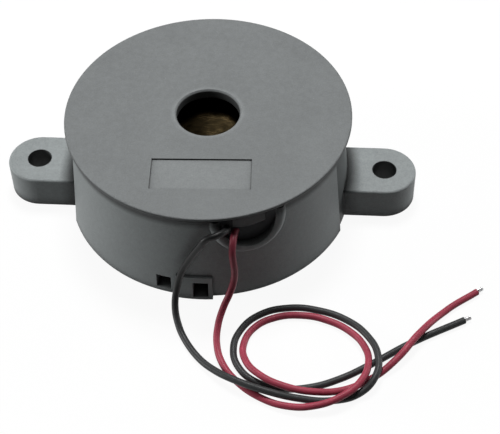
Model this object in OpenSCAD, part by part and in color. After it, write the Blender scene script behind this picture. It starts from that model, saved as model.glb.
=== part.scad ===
// Flange-mount piezo buzzer with two flying leads.
// Origin: centre of the base face. +Z up through the sound hole, ears along X,
// leads leave the front, which is -Y.

/* [Case] */
// Outer diameter of the case at its base
case_d = 43.2; // [42.4:0.1:46]
// How far the case wall leans in on its way up to the top edge
wall_lean = 1.05; // [0.8:0.05:1.2]
// Thickness of the case wall at its top edge
wall_t = 1.15; // [1:0.05:1.3]
// Height of the case from the base to its top edge
case_h = 15.1; // [14.8:0.1:18]
// Thickness of the case floor
floor_t = 1.6; // [1.2:0.1:2]
// Depth of the shallow recess in the underside
base_recess = 0.4; // [0.2:0.1:0.8]
// Width of the flat rim left round that recess
base_rim_w = 4; // [3:0.5:6]
// Radius of the rounded bottom edge
base_edge_r = 0.4; // [0.2:0.1:0.8]

/* [Ears] */
// Distance between the two screw holes
ear_pitch = 52.5; // [51.5:0.5:60]
// Width of each ear
ear_w = 9.5; // [8:0.5:12]
// Thickness of each ear
ear_t = 5.2; // [3:0.1:7]
// Diameter of each screw hole
ear_hole_d = 3.6; // [3:0.1:4.5]
// Radius of the rounded upper edge of an ear
ear_edge_r = 0.4; // [0.2:0.1:0.8]
// How far the case wall steps back round each ear
relief_t = 0.6; // [0.4:0.1:0.7]
// Width of that step, across the ear
relief_w = 16.4; // [13:0.2:20]

/* [Front cover] */
// Thickness of the cover plate
cover_t = 1.5; // [1.3:0.1:2.4]
// Thickness of the thin rim that overhangs the case
rim_t = 0.45; // [0.3:0.05:0.6]
// How far that rim overhangs the case wall
rim_out = 0.45; // [0.3:0.05:0.6]
// Height of the groove between that rim and the case
groove_h = 0.55; // [0.3:0.05:0.6]
// Depth of that groove, in from the case wall
groove_in = 0.6; // [0.4:0.05:0.7]
// Diameter of the sound hole
sound_hole_d = 9.3; // [6:0.1:14]
// Chamfer round the sound hole
sound_chamfer = 0.25; // [0.1:0.05:0.5]
// Width of the plain panel in front of the sound hole
panel_w = 14.2; // [8:0.2:16]
// Depth of that panel, front to back
panel_l = 5.8; // [4:0.2:7]
// Distance of the panel's centre from the sound hole
panel_y = 12.4; // [11.5:0.1:14]
// Depth that the panel is sunk
panel_sink = 0.2; // [0.1:0.05:0.4]
// Width of the tongue that closes the top of the lead port
tongue_w = 4.7; // [4:0.1:5]
// Height of that tongue
tongue_h = 1.6; // [1.2:0.1:1.7]

/* [Lead port] */
// Angle of the lead port, round from the front centre
port_a = 20.5; // [20:0.5:21]
// Width of the lead port
port_w = 7.8; // [7.6:0.1:8.4]
// Depth of the lead port, down from the case's top edge
port_h = 4.6; // [4.4:0.1:5.2]
// Thickness of the round bead along the port's edge
bead_d = 1.8; // [1.4:0.1:2]
// How far the bead stands out of the wall at its lowest point
bead_out = 1.1; // [0.8:0.1:1.2]
// How far it stands out at its two ends
bead_end_out = 0.4; // [0.3:0.1:0.7]
// Thickness of the rubber seal in the port
seal_t = 1; // [0.8:0.1:1]

/* [Base slots] */
// Width of the two slots in the base of the wall
slot_w = 2.2; // [1.6:0.1:3]
// Height of the top of the slots
slot_h = 3.4; // [2.4:0.1:4]
// Height of the bar under the middle slot
slot_bar = 0.45; // [0.3:0.05:0.8]
// Width of the pad that the middle slot is cut in
pad_w = 5.2; // [4.2:0.1:7]
// Height of that pad
pad_h = 4.4; // [4.2:0.1:5.5]
// How far the pad stands out of the wall
pad_out = 0.45; // [0.3:0.05:0.8]

/* [Sound element] */
// Room between the edge of the brass plate and the case wall
side_room = 1.9; // [1.8:0.05:2.1]
// Thickness of the brass plate
plate_t = 0.2; // [0.15:0.05:0.3]
// Diameter of the ceramic disc
ceramic_d = 25; // [24:0.5:28]
// Thickness of the ceramic disc
ceramic_t = 0.2; // [0.15:0.05:0.3]
// Height of the air space over the brass plate
chamber_h = 2; // [1.6:0.1:2.4]
// Thickness of the ring that carries the brass plate
seat_t = 1.4; // [1:0.1:1.8]
// Overlap of that ring on the brass plate
seat_lap = 1.1; // [0.8:0.1:1.3]

/* [Circuit board] */
// Room between the edge of the circuit board and the case wall
board_room = 1.9; // [1.4:0.1:2.2]
// Thickness of the circuit board
board_t = 1.6; // [1:0.1:1.6]
// Height of the board over the case floor
standoff = 2; // [1.8:0.1:2.4]
// Diameter of the pins that hold the board
pin_d = 1.6; // [1.2:0.1:2]
// Diameter of the wire legs of the small parts
leg_d = 0.5; // [0.4:0.05:0.6]
// Diameter of the wires that run up to the sound element
wire_d = 0.5; // [0.4:0.05:0.6]

/* [Leads] */
// Outer diameter of each lead
lead_d = 1; // [0.8:0.05:1]
// Diameter of the tinned core of each lead
core_d = 0.6; // [0.4:0.05:0.7]
// Length of bare core at the free end of each lead
bare_l = 1; // [0.5:0.1:3]

/* [Hidden] */
$fn = 96;

// Clearances and small extras
eps = 0.01;           // lets a cut run past a face
board_fit = 0.15;     // gap round a pin or leg in its board hole
cover_fit = 0.1;      // gap between the cover's register and the case bore
glue_w = 0.5;         // width of the glue outside the brass plate
part_gap = 0.8;       // air between the tallest small part and the sound element
post_r = 1.8;         // posts under the board
head_r = 1.4;         // staked heads over the board
head_h = 0.6;
leg_out = 1;          // how far a leg stands out under the board
solder_h = 0.8;       // height of the solder round a leg
solder_r = 0.62;      // its radius on the board
seal_back = 0.2;      // how far the seal lies inside the wall's inner face
tongue_t = 1.9;       // thickness of the cover's tongue
tongue_edge_r = 9;    // its lower edge is part of a circle
panel_turn = 2;       // angle of the panel
slot_in = 0.4;        // how far the slots reach past the case bore
slot_shift = 0.2;     // the middle slot is a little off the front centre
pad_shift = -0.7;     // and so is its pad
side_slot_a = -14;    // angle of the other slot
side_slot_bar = 1;    // height of the bar under it

// Diameters, worked out from the case
case_top_d = case_d - 2 * wall_lean;
case_bore_d = case_top_d - 2 * wall_t;
cover_d = case_top_d + 2 * rim_out;
groove_d = case_top_d - 2 * groove_in;
plate_d = case_bore_d - 2 * side_room;
board_d = case_bore_d - 2 * board_room;

// Levels
case_r = case_d / 2;
case_top_r = case_top_d / 2;
bore_r = case_bore_d / 2;
rim_z = case_h + groove_h;
top_z = rim_z + rim_t;
plate_top = top_z - cover_t - chamber_h;
plate_bottom = plate_top - plate_t;
ceramic_bottom = plate_bottom - ceramic_t;
board_z = floor_t + standoff;
board_top = board_z + board_t;
seat_out_r = plate_d / 2 - seat_lap + seat_t;
port_r = port_w / 2;
port_z = case_h - port_h + port_r;
lead_z = port_z - 1.5;

// Outer radius of the case wall at a height
function wall_r(z) = case_r - wall_lean * z / case_h;

// Places on the board: [x, y] of the centre and the angle of each small part
post_r_from_centre = 15;
post_angles = [90, 210, 330];
transistor_at = [7, 2.5, 0];
inductor_at = [-6.5, 5, 30];
capacitor_at = [-5.5, -6, 0];
resistor_at = [[7.5, -3.6, 0], [5.9, -7.2, 0], [4.2, 9.3, 0]];
diode_at = [-1.5, -11.2, 0];

// Small parts
transistor_pitch = 1.27;
transistor_r = 2.3;
transistor_flat = 1.2;
transistor_lift = 1.4;
resistor_span = 9;
resistor_r = 1.1;
resistor_l = 6;
diode_span = 7;
diode_r = 0.95;
diode_l = 4;
capacitor_pitch = 2;
capacitor_r = 2.5;
inductor_pitch = 5;
inductor_r = 3.4;
inductor_flange = 0.9;
inductor_waist = 1.6;
sleeve_t = 0.2;
can_lift = 0.2;
sleeve_lift = 0.4;
inductor_h = ceramic_bottom - board_top - can_lift - part_gap;
capacitor_h = inductor_h - 0.6;
transistor_h = inductor_h - 1.6;

// Places in the lead port, given as [across it, out from the case bore, height]
function in_port(places) = [
    for (p = places)
        [
            p[0] * cos(port_a) + (bore_r + p[1]) * sin(port_a),
            p[0] * sin(port_a) - (bore_r + p[1]) * cos(port_a),
            p[2]
        ]
];

// Lead and wire routes. Each point is the centre of the lead.
lead_foot = board_top + 0.2;
black_route = concat(
    in_port([
        [-3.3, -4.4, lead_foot], [-3.3, -4.4, lead_z - 5.7], [-3.1, -2.6, lead_z - 2.7],
        [-2.8, -0.9, lead_z - 0.7], [-3, 0.1, lead_z + 0.4], [-3.2, 1.3, lead_z + 1],
        [-4, 2.2, lead_z + 1.5], [-5.2, 2.6, lead_z + 1.6], [-6.5, 2.4, lead_z + 1.1],
        [-7.4, 2.1, 12.5], [-8.7, 1.5, 9.8], [-10, 1.2, 7], [-11, 1.8, 4.5]
    ]),
    [
        [-3.1, -25.3, 2.5], [-2.5, -27.5, 1.1], [-1.2, -30, 0.5], [0.7, -32.6, 0.5],
        [3.2, -35, 1], [6.4, -37, 1.6], [10.4, -38.4, 1.6], [14.9, -39, 1], [19.4, -38.8, 0.5],
        [23.1, -37.6, 0.8], [25.2, -35.2, 1.6], [25.5, -31.9, 1.7], [24.1, -28.3, 1.2],
        [21.2, -25.3, 0.7], [17.1, -23.6, 0.5], [12.6, -23.4, 0.5], [8.8, -24.8, 0.5],
        [6.3, -27.6, 0.5], [5.5, -31, 0.5], [6.5, -34.1, 0.5], [9, -36.3, 0.5],
        [12.5, -37.2, 0.5], [16.4, -36.8, 0.5], [20.4, -35.2, 0.5], [24.7, -32.5, 0.5],
        [30.1, -28.7, 0.5], [37.7, -24.3, 0.5]
    ]
);
red_route = concat(
    in_port([
        [-0.8, -4.1, lead_foot], [-0.8, -4.1, lead_z - 5.7], [-0.9, -2, lead_z - 2.7],
        [-1.2, -0.5, lead_z - 0.9], [-1.7, 0.6, lead_z - 0.1], [-2.3, 1.7, lead_z + 0.1],
        [-2.9, 3, lead_z - 0.1], [-3.3, 3.9, lead_z - 1.1], [-3.3, 4.3, 10.2], [-3.2, 4.4, 8.3],
        [-3.4, 4.5, 6.4], [-4.2, 5.1, 4.7], [-5.5, 6.2, 3.3]
    ]),
    [
        [3.2, -28.1, 2.1], [3.2, -30.7, 1.1], [4.2, -33.6, 0.6], [6.4, -36.4, 0.5],
        [9.5, -38.7, 0.5], [13.2, -40.1, 0.7], [17.1, -40.2, 1.2], [20.7, -38.8, 1.7],
        [23.2, -36.3, 1.8], [24.2, -33.2, 1.6], [23.7, -30.1, 1.1], [21.7, -27.3, 0.7],
        [18.4, -25.3, 0.5], [14.6, -24.6, 0.5], [11, -25.2, 0.5], [8.2, -27.1, 0.5],
        [6.9, -30, 0.6], [7.3, -33.1, 1.1], [9.4, -35.8, 1.6], [12.8, -37.5, 1.6],
        [17, -37.9, 1.1], [21.2, -36.9, 0.5], [25, -34.7, 0.5], [28.3, -31.7, 1.2],
        [31.1, -27.9, 1.6], [35, -22.9, 0.5], [39.7, -19.1, 0.5]
    ]
);
main_route = [
    [-0.8, 10.8, board_z - solder_h], [-0.8, 10.8, board_top + 0.8], [-0.5, 8.4, board_top + 3],
    [-0.2, 5, ceramic_bottom - 2.6], [0, 1.2, ceramic_bottom - 1.8],
    [0, 0, ceramic_bottom - 1], [0, 0, ceramic_bottom - 0.5]
];
feedback_route = [
    [12, 8, board_z - solder_h], [12, 8, board_top + 0.8], [11.6, 6, board_top + 3.2],
    [10.4, 4.5, ceramic_bottom - 2.2], [10, 4, ceramic_bottom - 1.1], [10, 4, ceramic_bottom - 0.5]
];
ground_route = [
    [-12, 6.2, board_z - solder_h], [-12, 6.2, board_top + 1.2], [-12.6, 4, plate_bottom - 3.4],
    [-13.8, 1.6, plate_bottom - 1.8], [-14.2, 0.6, plate_bottom - 1], [-14.2, 0.6, plate_bottom - 0.5]
];
tube_sides = 8;

// All the legs and wires that pass through the board
function turned(at, p) = [
    at[0] + p[0] * cos(at[2]) - p[1] * sin(at[2]),
    at[1] + p[0] * sin(at[2]) + p[1] * cos(at[2])
];
function pair(at, span) = [turned(at, [-span / 2, 0]), turned(at, [span / 2, 0])];
leg_pads = concat(
    [for (i = [-1:1]) turned(transistor_at, [i * transistor_pitch, 0])],
    pair(inductor_at, inductor_pitch),
    pair(capacitor_at, capacitor_pitch),
    [for (at = resistor_at) each pair(at, resistor_span)],
    pair(diode_at, diode_span)
);
wire_pads = [for (r = [main_route, feedback_route, ground_route]) [r[0][0], r[0][1]]];
lead_pads = [for (r = [black_route, red_route]) [r[0][0], r[0][1]]];

// Tube swept along a list of points
function unit(v) = v / norm(v);
function ahead(p, i) = unit(p[min(i + 1, len(p) - 1)] - p[max(i - 1, 0)]);
function square_to(v, t) = unit(v - (v * t) * t);
function sides(p, i = 0, v = [1, 0, 0]) = i == len(p)
    ? []
    : let (s = square_to(v, ahead(p, i))) concat([s], sides(p, i + 1, s));
module tube(p, d) {
    n = tube_sides;
    s = sides(p);
    rings = [
        for (i = [0:len(p) - 1], k = [0:n - 1])
            let (a = 360 * k / n, t = ahead(p, i))
                p[i] + d / 2 * (cos(a) * s[i] + sin(a) * cross(t, s[i]))
    ];
    last = (len(p) - 1) * n;
    walls = [
        for (i = [0:len(p) - 2], k = [0:n - 1])
            let (a = i * n + k, b = i * n + (k + 1) % n)
                [a, a + n, b + n, b]
    ];
    ends = [[for (k = [0:n - 1]) k], [for (k = [n - 1:-1:0]) last + k]];
    polyhedron(rings, concat(walls, ends), convexity = 10);
}

// Quarter-round corner between two points of a profile, as arc points
function arc(c, r, from, to, steps = 6) = [
    for (i = [0:steps]) let (a = from + (to - from) * i / steps) c + r * [cos(a), sin(a)]
];

// ---------------------------------------------------------------- Case
module case_shell() {
    rotate_extrude()
        polygon(concat(
            [[0, base_recess], [case_r - base_rim_w, base_recess], [case_r - base_rim_w, 0]],
            arc([wall_r(base_edge_r) - base_edge_r, base_edge_r], base_edge_r, -90, 0),
            [[case_top_r, case_h], [bore_r, case_h], [bore_r, floor_t], [0, floor_t]]
        ));
}

module ear() {
    reach = ear_pitch / 2;
    // the straight part, out from inside the case wall
    translate([bore_r + eps, 0, 0])
        rotate([90, 0, 90])
            linear_extrude(reach - bore_r - eps)
                polygon(concat(
                    [[-ear_w / 2, 0], [ear_w / 2, 0]],
                    arc([ear_w / 2 - ear_edge_r, ear_t - ear_edge_r], ear_edge_r, 0, 90),
                    arc([ear_edge_r - ear_w / 2, ear_t - ear_edge_r], ear_edge_r, 90, 180)
                ));
    // the round end
    translate([reach, 0, 0])
        rotate_extrude()
            polygon(concat(
                [[0, 0], [ear_w / 2, 0]],
                arc([ear_w / 2 - ear_edge_r, ear_t - ear_edge_r], ear_edge_r, 0, 90),
                [[0, ear_t]]
            ));
}

// Outline of the lead port: round below, open at the case's top edge, drawn out to the front
module port_shape(depth) {
    rotate([90, 0, 0])
        linear_extrude(depth) {
            translate([0, port_z])
                circle(port_r);
            translate([-port_r, port_z])
                square([2 * port_r, case_h + eps - port_z]);
        }
}

// Round bead along the port's edge. It leans back, so that it dies into the wall at the top.
module bead() {
    ring_r = port_r + 0.4 * bead_d;
    low = wall_r(port_z - ring_r) + bead_out - bead_d / 2;
    ends = sqrt(wall_r(port_z) ^ 2 - ring_r ^ 2) + bead_end_out - bead_d / 2;
    intersection() {
        rotate([0, 0, port_a])
            translate([0, -ends, port_z])
                rotate([90 - atan((low - ends) / ring_r), 0, 0])
                    rotate_extrude()
                        translate([ring_r, 0])
                            circle(d = bead_d, $fn = 32);
        difference() {
            cylinder(h = case_h, r = 2 * case_r);
            cylinder(h = 3 * case_h, r = bore_r + eps, center = true);
        }
    }
}

// What is cut away where the wall steps back round the ears
module ear_relief() {
    intersection() {
        rotate_extrude()
            polygon([
                [case_r - relief_t, -eps], [2 * case_r, -eps],
                [2 * case_r, case_h + eps], [case_top_r - relief_t, case_h + eps]
            ]);
        cube([4 * case_r, relief_w, 4 * case_h], center = true);
    }
}

// A straight-sided cut through the wall from the front
module wall_cut(angle, w, z0, z1) {
    rotate([0, 0, angle])
        translate([-w / 2, -2 * case_r, z0])
            cube([w, 2 * case_r - bore_r + slot_in, z1 - z0]);
}

module pad() {
    intersection() {
        translate([pad_shift - pad_w / 2, -2 * case_r, 0])
            cube([pad_w, 2 * case_r, pad_h]);
        difference() {
            cylinder(h = pad_h, r1 = case_r + pad_out, r2 = wall_r(pad_h) + pad_out);
            cylinder(h = 3 * pad_h, r = bore_r + eps, center = true);
        }
    }
}

module board_post(a) {
    translate([post_r_from_centre * cos(a), post_r_from_centre * sin(a), 0]) {
        translate([0, 0, floor_t - eps])
            cylinder(h = standoff + eps, r = post_r);
        translate([0, 0, board_z - eps])
            cylinder(h = board_t + 2 * eps, d = pin_d);
        translate([0, 0, board_top])
            cylinder(h = head_h, r1 = head_r, r2 = head_r * 0.6);
    }
}

module case() {
    color([0.27, 0.29, 0.30])
        difference() {
            union() {
                difference() {
                    case_shell();
                    ear_relief();
                }
                for (side = [0, 180])
                    rotate([0, 0, side])
                        ear();
                bead();
                pad();
                for (a = post_angles)
                    board_post(a);
            }
            for (side = [-1, 1])
                translate([side * ear_pitch / 2, 0, -eps])
                    cylinder(h = ear_t + 2 * eps, d = ear_hole_d);
            rotate([0, 0, port_a])
                translate([0, -bore_r / 2, 0])
                    port_shape(case_r);
            // slots in the base of the wall
            translate([slot_shift, 0, 0])
                wall_cut(0, slot_w, slot_bar, slot_h);
            wall_cut(side_slot_a, slot_w, side_slot_bar, slot_h);
        }
}

// ---------------------------------------------------------------- Front cover
// Outline of the tongue that closes the top of the lead port, drawn out to the front
module tongue_shape() {
    rotate([0, 0, port_a])
        rotate([90, 0, 0])
            linear_extrude(2 * case_r)
                intersection() {
                    translate([-tongue_w / 2, case_h - tongue_h])
                        square([tongue_w, 2 * tongue_h]);
                    translate([0, case_h - tongue_h + tongue_edge_r])
                        circle(tongue_edge_r);
                }
}

module tongue() {
    intersection() {
        tongue_shape();
        difference() {
            cylinder(h = case_h, r1 = wall_r(0), r2 = wall_r(case_h));
            cylinder(h = 3 * case_h, r = case_top_r - tongue_t, center = true);
        }
    }
}

module front_cover() {
    hole_r = sound_hole_d / 2;
    edge = min(0.25, rim_t / 2);
    seat_in_r = plate_d / 2 - seat_lap;
    color([0.33, 0.35, 0.36]) {
        difference() {
            rotate_extrude()
                polygon(concat(
                    [
                        [hole_r, top_z - cover_t], [seat_in_r, top_z - cover_t], [seat_in_r, plate_top],
                        [seat_out_r, plate_top], [seat_out_r, top_z - cover_t],
                        [bore_r - cover_fit, top_z - cover_t], [bore_r - cover_fit, case_h],
                        [groove_d / 2, case_h], [groove_d / 2, rim_z], [cover_d / 2, rim_z]
                    ],
                    arc([cover_d / 2 - edge, top_z - edge], edge, 0, 90),
                    [[hole_r + sound_chamfer, top_z], [hole_r, top_z - sound_chamfer]]
                ));
            translate([0, -panel_y, top_z - panel_sink])
                rotate([0, 0, panel_turn])
                    translate([-panel_w / 2, -panel_l / 2, 0])
                        cube([panel_w, panel_l, 2 * panel_sink]);
        }
        tongue();
    }
}

// ---------------------------------------------------------------- Sound element
module diaphragm() {
    color([0.72, 0.58, 0.30])
        translate([0, 0, plate_bottom])
            cylinder(h = plate_t, d = plate_d);
}

module piezo_ceramic() {
    color([0.83, 0.82, 0.78])
        translate([0, 0, ceramic_bottom])
            cylinder(h = ceramic_t, d = ceramic_d);
}

// Bead of glue round the edge of the brass plate, against its seat
module diaphragm_glue() {
    edge_r = plate_d / 2;
    color([0.90, 0.90, 0.88])
        rotate_extrude()
            polygon([
                [edge_r, plate_bottom], [edge_r + glue_w, plate_bottom],
                [seat_out_r + glue_w / 2, plate_top + glue_w], [seat_out_r, plate_top + glue_w],
                [seat_out_r, plate_top], [edge_r, plate_top]
            ]);
}

module solder_dome(x, y, z) {
    translate([x, y, z])
        rotate_extrude()
            polygon([[0, 0], [0.9, 0], [0.7, -0.3], [wire_d / 2 + 0.1, -0.5], [0, -0.5]]);
}

module element_solder() {
    ground_end = ground_route[len(ground_route) - 1];
    color([0.75, 0.76, 0.78]) {
        for (r = [main_route, feedback_route])
            solder_dome(r[len(r) - 1][0], r[len(r) - 1][1], ceramic_bottom);
        solder_dome(ground_end[0], ground_end[1], plate_bottom);
    }
}

module main_wire() {
    color([0.75, 0.12, 0.12])
        tube(main_route, wire_d);
}

module feedback_wire() {
    color([0.15, 0.30, 0.70])
        tube(feedback_route, wire_d);
}

module ground_wire() {
    color([0.10, 0.10, 0.11])
        tube(ground_route, wire_d);
}

// ---------------------------------------------------------------- Circuit board
module circuit_board() {
    color([0.60, 0.42, 0.22])
        difference() {
            translate([0, 0, board_z])
                cylinder(h = board_t, d = board_d);
            for (a = post_angles)
                translate([post_r_from_centre * cos(a), post_r_from_centre * sin(a), 0])
                    cylinder(h = 2 * board_top, d = pin_d + 2 * board_fit);
            for (p = concat(leg_pads, wire_pads))
                translate([p[0], p[1], 0])
                    cylinder(h = 2 * board_top, d = leg_d + 2 * board_fit, $fn = 24);
            for (p = lead_pads)
                translate([p[0], p[1], 0])
                    cylinder(h = 2 * board_top, d = core_d + 2 * board_fit, $fn = 24);
        }
}

module fillet_of_solder(p, d) {
    translate([p[0], p[1], board_z - solder_h])
        difference() {
            cylinder(h = solder_h, r1 = d / 2 + 0.1, r2 = solder_r, $fn = 24);
            translate([0, 0, -eps])
                cylinder(h = solder_h + 2 * eps, d = d, $fn = 24);
        }
}

module board_solder() {
    color([0.75, 0.76, 0.78]) {
        for (p = leg_pads)
            fillet_of_solder(p, leg_d);
        for (p = wire_pads)
            fillet_of_solder(p, wire_d);
        for (p = lead_pads)
            fillet_of_solder(p, core_d);
    }
}

module leg(p, top) {
    translate([p[0], p[1], board_z - leg_out])
        cylinder(h = top - board_z + leg_out, d = leg_d, $fn = 24);
}

// Body lying over the board on a wire that is bent down through it at both ends
module axial_part(at, span, r, l, waist) {
    axis_z = board_top + r + 0.1;
    ends = pair(at, span);
    for (p = ends) {
        leg(p, axis_z);
        translate([p[0], p[1], axis_z])
            sphere(d = leg_d, $fn = 24);
    }
    translate([at[0], at[1], axis_z])
        rotate([0, 90, at[2]]) {
            cylinder(h = span, d = leg_d, center = true, $fn = 24);
            rotate_extrude($fn = 48)
                polygon([
                    [0, -l / 2], [r * 0.7, -l / 2], [r, -l / 2 + 0.3], [r, -l / 4], [waist, -l / 4 + 0.5],
                    [waist, l / 4 - 0.5], [r, l / 4], [r, l / 2 - 0.3], [r * 0.7, l / 2], [0, l / 2]
                ]);
        }
}

module resistor(i) {
    color([0.78, 0.68, 0.50])
        axial_part(resistor_at[i], resistor_span, resistor_r, resistor_l, resistor_r * 0.85);
}

module resistor_a() {
    resistor(0);
}

module resistor_b() {
    resistor(1);
}

module resistor_c() {
    resistor(2);
}

module diode() {
    color([0.80, 0.45, 0.20])
        axial_part(diode_at, diode_span, diode_r, diode_l, diode_r);
}

module transistor() {
    bottom = board_top + transistor_lift;
    color([0.10, 0.10, 0.11]) {
        for (i = [-1:1])
            leg(turned(transistor_at, [i * transistor_pitch, 0]), bottom + eps);
        translate([transistor_at[0], transistor_at[1], bottom])
            rotate([0, 0, transistor_at[2]])
                difference() {
                    cylinder(h = transistor_h, r = transistor_r, $fn = 48);
                    translate([-transistor_r, -2 * transistor_r - transistor_flat, -eps])
                        cube([2 * transistor_r, 2 * transistor_r, transistor_h + 2 * eps]);
                }
    }
}

module capacitor() {
    at = capacitor_at;
    color([0.12, 0.16, 0.32]) {
        for (p = pair(at, capacitor_pitch))
            leg(p, board_top + 0.3);
        translate([at[0], at[1], board_top + can_lift])
            rotate_extrude($fn = 48)
                polygon([
                    [0, 0], [capacitor_r - 0.3, 0], [capacitor_r, 0.3], [capacitor_r, 0.9],
                    [capacitor_r - 0.25, 1.15], [capacitor_r, 1.4], [capacitor_r, capacitor_h - 0.3],
                    [capacitor_r - 0.3, capacitor_h], [capacitor_r - 0.7, capacitor_h],
                    [capacitor_r - 0.7, capacitor_h - 0.2], [0, capacitor_h - 0.2]
                ]);
    }
}

module inductor_core() {
    at = inductor_at;
    r = inductor_r - sleeve_t;
    color([0.20, 0.20, 0.21]) {
        for (p = pair(at, inductor_pitch))
            leg(p, board_top + 0.3);
        translate([at[0], at[1], board_top + can_lift])
            rotate_extrude($fn = 48)
                polygon([
                    [0, 0], [r, 0], [r, inductor_flange], [inductor_waist, inductor_flange],
                    [inductor_waist, inductor_h - inductor_flange], [r, inductor_h - inductor_flange],
                    [r, inductor_h], [0, inductor_h]
                ]);
    }
}

module inductor_winding() {
    at = inductor_at;
    turns_r = inductor_r - sleeve_t - 0.3;
    low = board_top + can_lift + inductor_flange;
    color([0.72, 0.38, 0.20])
        translate([at[0], at[1], low])
            difference() {
                cylinder(h = inductor_h - 2 * inductor_flange, r = turns_r, $fn = 48);
                translate([0, 0, -eps])
                    cylinder(h = inductor_h, r = inductor_waist, $fn = 48);
            }
}

module inductor_sleeve() {
    at = inductor_at;
    color([0.08, 0.08, 0.09])
        translate([at[0], at[1], board_top + sleeve_lift])
            difference() {
                cylinder(h = inductor_h + can_lift - sleeve_lift, r = inductor_r, $fn = 48);
                translate([0, 0, -eps])
                    cylinder(h = inductor_h, r = inductor_r - sleeve_t, $fn = 48);
            }
}

// ---------------------------------------------------------------- Leads
// Soft rubber plug that fills the lead port round both leads
module lead_seal() {
    color([0.12, 0.13, 0.14])
        difference() {
            intersection() {
                rotate([0, 0, port_a])
                    port_shape(case_r);
                cylinder(h = case_h, r = bore_r + seal_back + seal_t);
            }
            cylinder(h = 3 * case_h, r = bore_r + seal_back, center = true);
            tongue_shape();
            tube(black_route, lead_d);
            tube(red_route, lead_d);
        }
}

module lead_pins() {
    color([0.80, 0.80, 0.82])
        for (p = lead_pads)
            translate([p[0], p[1], board_z - leg_out])
                cylinder(h = black_route[0][2] - board_z + leg_out, d = core_d, $fn = 24);
}

// Bare core past the end of a lead, in line with its last stretch
module lead_tip(p) {
    end = p[len(p) - 1];
    back = p[len(p) - 2];
    color([0.78, 0.78, 0.80])
        translate(end)
            rotate([0, 90, atan2(end[1] - back[1], end[0] - back[0])])
                cylinder(h = bare_l, d = core_d, $fn = 24);
}

module red_lead() {
    color([0.62, 0.18, 0.26])
        tube(red_route, lead_d);
}

module black_lead() {
    color([0.17, 0.18, 0.18])
        tube(black_route, lead_d);
}

module red_lead_tip() {
    lead_tip(red_route);
}

module black_lead_tip() {
    lead_tip(black_route);
}

case();
front_cover();
diaphragm();
piezo_ceramic();
diaphragm_glue();
element_solder();
circuit_board();
board_solder();
transistor();
inductor_core();
inductor_winding();
inductor_sleeve();
resistor_a();
resistor_b();
resistor_c();
capacitor();
diode();
main_wire();
feedback_wire();
ground_wire();
lead_seal();
lead_pins();
red_lead();
black_lead();
red_lead_tip();
black_lead_tip();
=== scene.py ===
"""Flange-mount piezo buzzer with two flying leads: its finishes, leads, stage and camera."""

import math

import bpy
from bpy.props import FloatProperty, FloatVectorProperty, PointerProperty
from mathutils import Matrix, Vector


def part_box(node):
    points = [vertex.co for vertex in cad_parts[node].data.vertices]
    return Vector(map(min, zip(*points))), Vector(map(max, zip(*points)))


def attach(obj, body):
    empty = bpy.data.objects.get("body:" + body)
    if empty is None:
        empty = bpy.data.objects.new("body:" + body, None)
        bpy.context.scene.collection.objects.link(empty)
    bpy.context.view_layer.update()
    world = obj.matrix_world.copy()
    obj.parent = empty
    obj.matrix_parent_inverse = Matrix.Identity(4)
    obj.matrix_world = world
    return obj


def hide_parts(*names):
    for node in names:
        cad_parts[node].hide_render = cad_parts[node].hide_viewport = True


bl_info = {
    "name": "Piezo Buzzer",
    "version": (1, 0, 0),
    "blender": (4, 5, 0),
    "location": "View3D > Sidebar > Buzzer",
    "description": "Dresses a flange-mount piezo buzzer and lays out its two leads",
    "category": "Object",
}

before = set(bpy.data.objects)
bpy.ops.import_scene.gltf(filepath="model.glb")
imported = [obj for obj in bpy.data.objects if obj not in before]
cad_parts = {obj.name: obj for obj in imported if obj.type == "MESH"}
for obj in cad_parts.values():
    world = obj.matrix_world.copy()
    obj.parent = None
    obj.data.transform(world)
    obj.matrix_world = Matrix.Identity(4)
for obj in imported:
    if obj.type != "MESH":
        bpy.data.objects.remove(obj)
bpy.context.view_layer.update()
MM = 0.001

# The lead port, as in the part's source
PORT_ANGLE = math.radians(20.5)
BORE_RADIUS = 19.4


def in_port(places):
    """Places in the lead port, given in millimetres: across it, out from the case's bore, up."""
    turn_cos, turn_sin = math.cos(PORT_ANGLE), math.sin(PORT_ANGLE)
    return [
        (
            across * turn_cos + (BORE_RADIUS + out) * turn_sin,
            across * turn_sin - (BORE_RADIUS + out) * turn_cos,
            height,
        )
        for across, out, height in places
    ]


# Routes of the two leads in millimetres, the same points as in the part's source
BLACK_ROUTE = in_port([
    (-3.3, -4.4, 5.4), (-3.3, -4.4, 7.2), (-3.1, -2.6, 10.2), (-2.8, -0.9, 12.2),
    (-3, 0.1, 13.3), (-3.2, 1.3, 13.9), (-4, 2.2, 14.4), (-5.2, 2.6, 14.5), (-6.5, 2.4, 14),
    (-7.4, 2.1, 12.5), (-8.7, 1.5, 9.8), (-10, 1.2, 7), (-11, 1.8, 4.5),
]) + [
    (-3.1, -25.3, 2.5), (-2.5, -27.5, 1.1), (-1.2, -30, 0.5), (0.7, -32.6, 0.5), (3.2, -35, 1),
    (6.4, -37, 1.6), (10.4, -38.4, 1.6), (14.9, -39, 1), (19.4, -38.8, 0.5), (23.1, -37.6, 0.8),
    (25.2, -35.2, 1.6), (25.5, -31.9, 1.7), (24.1, -28.3, 1.2), (21.2, -25.3, 0.7),
    (17.1, -23.6, 0.5), (12.6, -23.4, 0.5), (8.8, -24.8, 0.5), (6.3, -27.6, 0.5),
    (5.5, -31, 0.5), (6.5, -34.1, 0.5), (9, -36.3, 0.5), (12.5, -37.2, 0.5), (16.4, -36.8, 0.5),
    (20.4, -35.2, 0.5), (24.7, -32.5, 0.5), (30.1, -28.7, 0.5), (37.7, -24.3, 0.5),
]
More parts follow.
